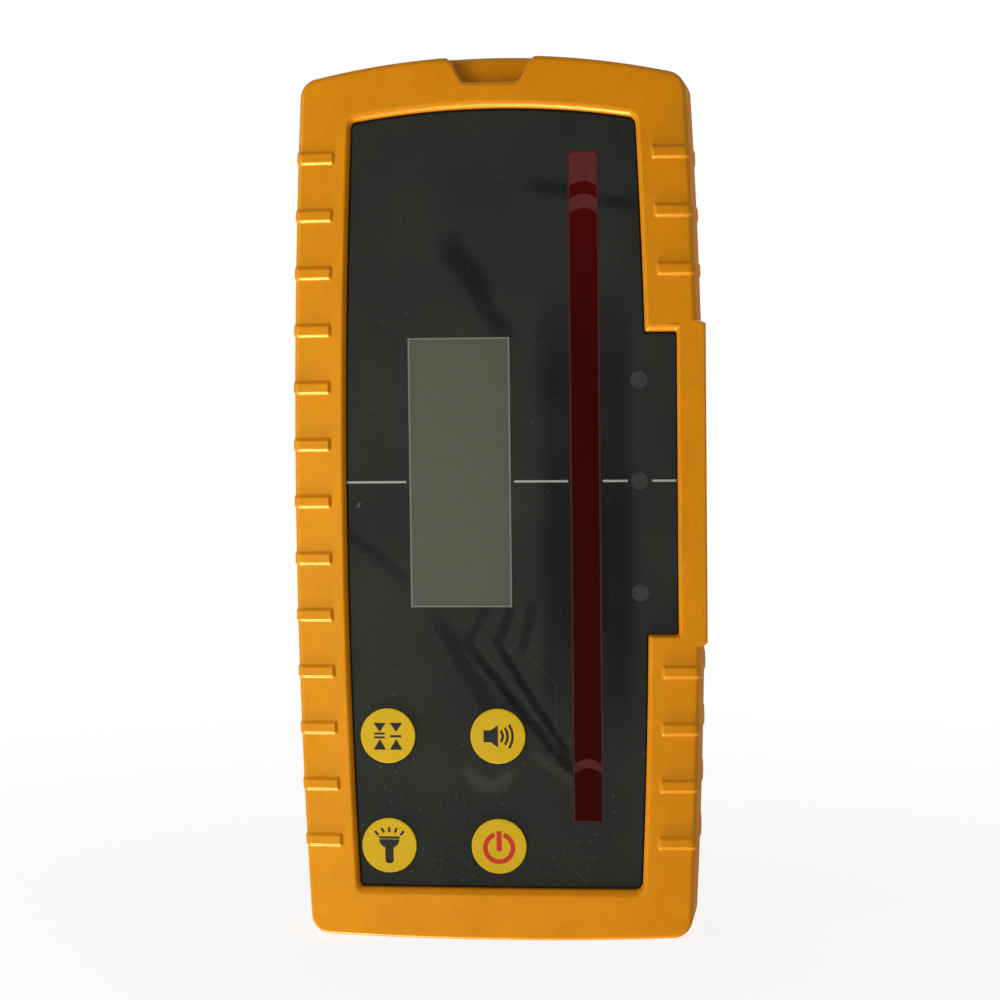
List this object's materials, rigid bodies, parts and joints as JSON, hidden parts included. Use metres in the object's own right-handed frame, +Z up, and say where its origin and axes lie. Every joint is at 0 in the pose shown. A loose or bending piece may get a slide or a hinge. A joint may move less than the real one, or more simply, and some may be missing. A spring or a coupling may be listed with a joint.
{
  "type": "laser receiver",
  "caption": "Hand-held laser receiver with a long red detector window, display, round keys, ribbed orange shells, rear battery door and a threaded bracket mount.",
  "frame": {"origin": "under the middle of the lower end, at the centre of the box of the whole receiver", "axes": "+Z up along the receiver, +X to the right seen from the front, the front faces -Y"},
  "size_m": [0.0751, 0.0274, 0.1584],
  "materials": {
    "housing_orange": "satin, fine grain",
    "seal_rubber": "matte",
    "panel_dark": "satin film",
    "display_grey": "satin",
    "window_red": "satin",
    "lens_smoke": "satin",
    "key_yellow": "satin",
    "plastic_black": "matte",
    "plastic_ivory": "matte",
    "board_green": "satin",
    "diode_dark": "gloss",
    "lamp_white": "gloss",
    "frame_steel": "satin",
    "display_glass": "gloss",
    "backlight_white": "matte",
    "zebra_rubber": "matte",
    "membrane_white": "matte",
    "cell_wrap": "satin",
    "contact_nickel": "satin",
    "screw_steel": "satin",
    "insert_brass": "satin"
  },
  "bodies": {
    "housing": {"front_housing": "housing_orange", "rear_housing": "housing_orange", "housing_seal": "seal_rubber", "front_panel": "panel_dark", "lcd_window": "display_grey", "receiver_window": "window_red", "led_lens_high": "lens_smoke", "led_lens_level": "lens_smoke", "led_lens_low": "lens_smoke", "switch_bodies": "plastic_black", "main_board": "board_green", "board_chips": "plastic_black", "photodiodes": "diode_dark", "indicator_leds": "lamp_white", "lcd_frame": "frame_steel", "lcd_glass": "display_glass", "lcd_backlight": "backlight_white", "zebra_strips": "zebra_rubber", "buzzer": "plastic_black", "vent_membrane": "membrane_white", "battery_1": "cell_wrap", "battery_2": "cell_wrap", "battery_springs": "contact_nickel", "battery_contacts": "contact_nickel", "door_insert": "insert_brass", "bracket_insert": "insert_brass", "housing_screws": "screw_steel", "board_screws": "screw_steel"},
    "door": {"battery_door": "housing_orange", "door_seal": "seal_rubber"},
    "coin_screw": {"door_screw": "screw_steel"},
    "grade_key": {"key_grade": "key_yellow", "stem_grade": "plastic_ivory"},
    "sound_key": {"key_sound": "key_yellow", "stem_sound": "plastic_ivory"},
    "light_key": {"key_light": "key_yellow", "stem_light": "plastic_ivory"},
    "power_key": {"key_power": "key_yellow", "stem_power": "plastic_ivory"}
  },
  "joints": [
    {"name": "grade_press", "type": "slide", "parent": "housing", "child": "grade_key", "axis": [0, 1, 0], "range_m": [0, 0.0004], "stiffness_N_per_m": 400},
    {"name": "sound_press", "type": "slide", "parent": "housing", "child": "sound_key", "axis": [0, 1, 0], "range_m": [0, 0.0004], "stiffness_N_per_m": 400},
    {"name": "light_press", "type": "slide", "parent": "housing", "child": "light_key", "axis": [0, 1, 0], "range_m": [0, 0.0004], "stiffness_N_per_m": 400},
    {"name": "power_press", "type": "slide", "parent": "housing", "child": "power_key", "axis": [0, 1, 0], "range_m": [0, 0.0004], "stiffness_N_per_m": 400},
    {"name": "door_lift", "type": "slide", "parent": "housing", "child": "door", "axis": [0, 1, 0], "range_m": [0, 0.03]},
    {"name": "coin_screw_turn", "type": "hinge", "parent": "door", "child": "coin_screw", "pos_m": [0, 0.01375, 0.07495], "axis": [0, 1, 0], "continuous": true}
  ]
}
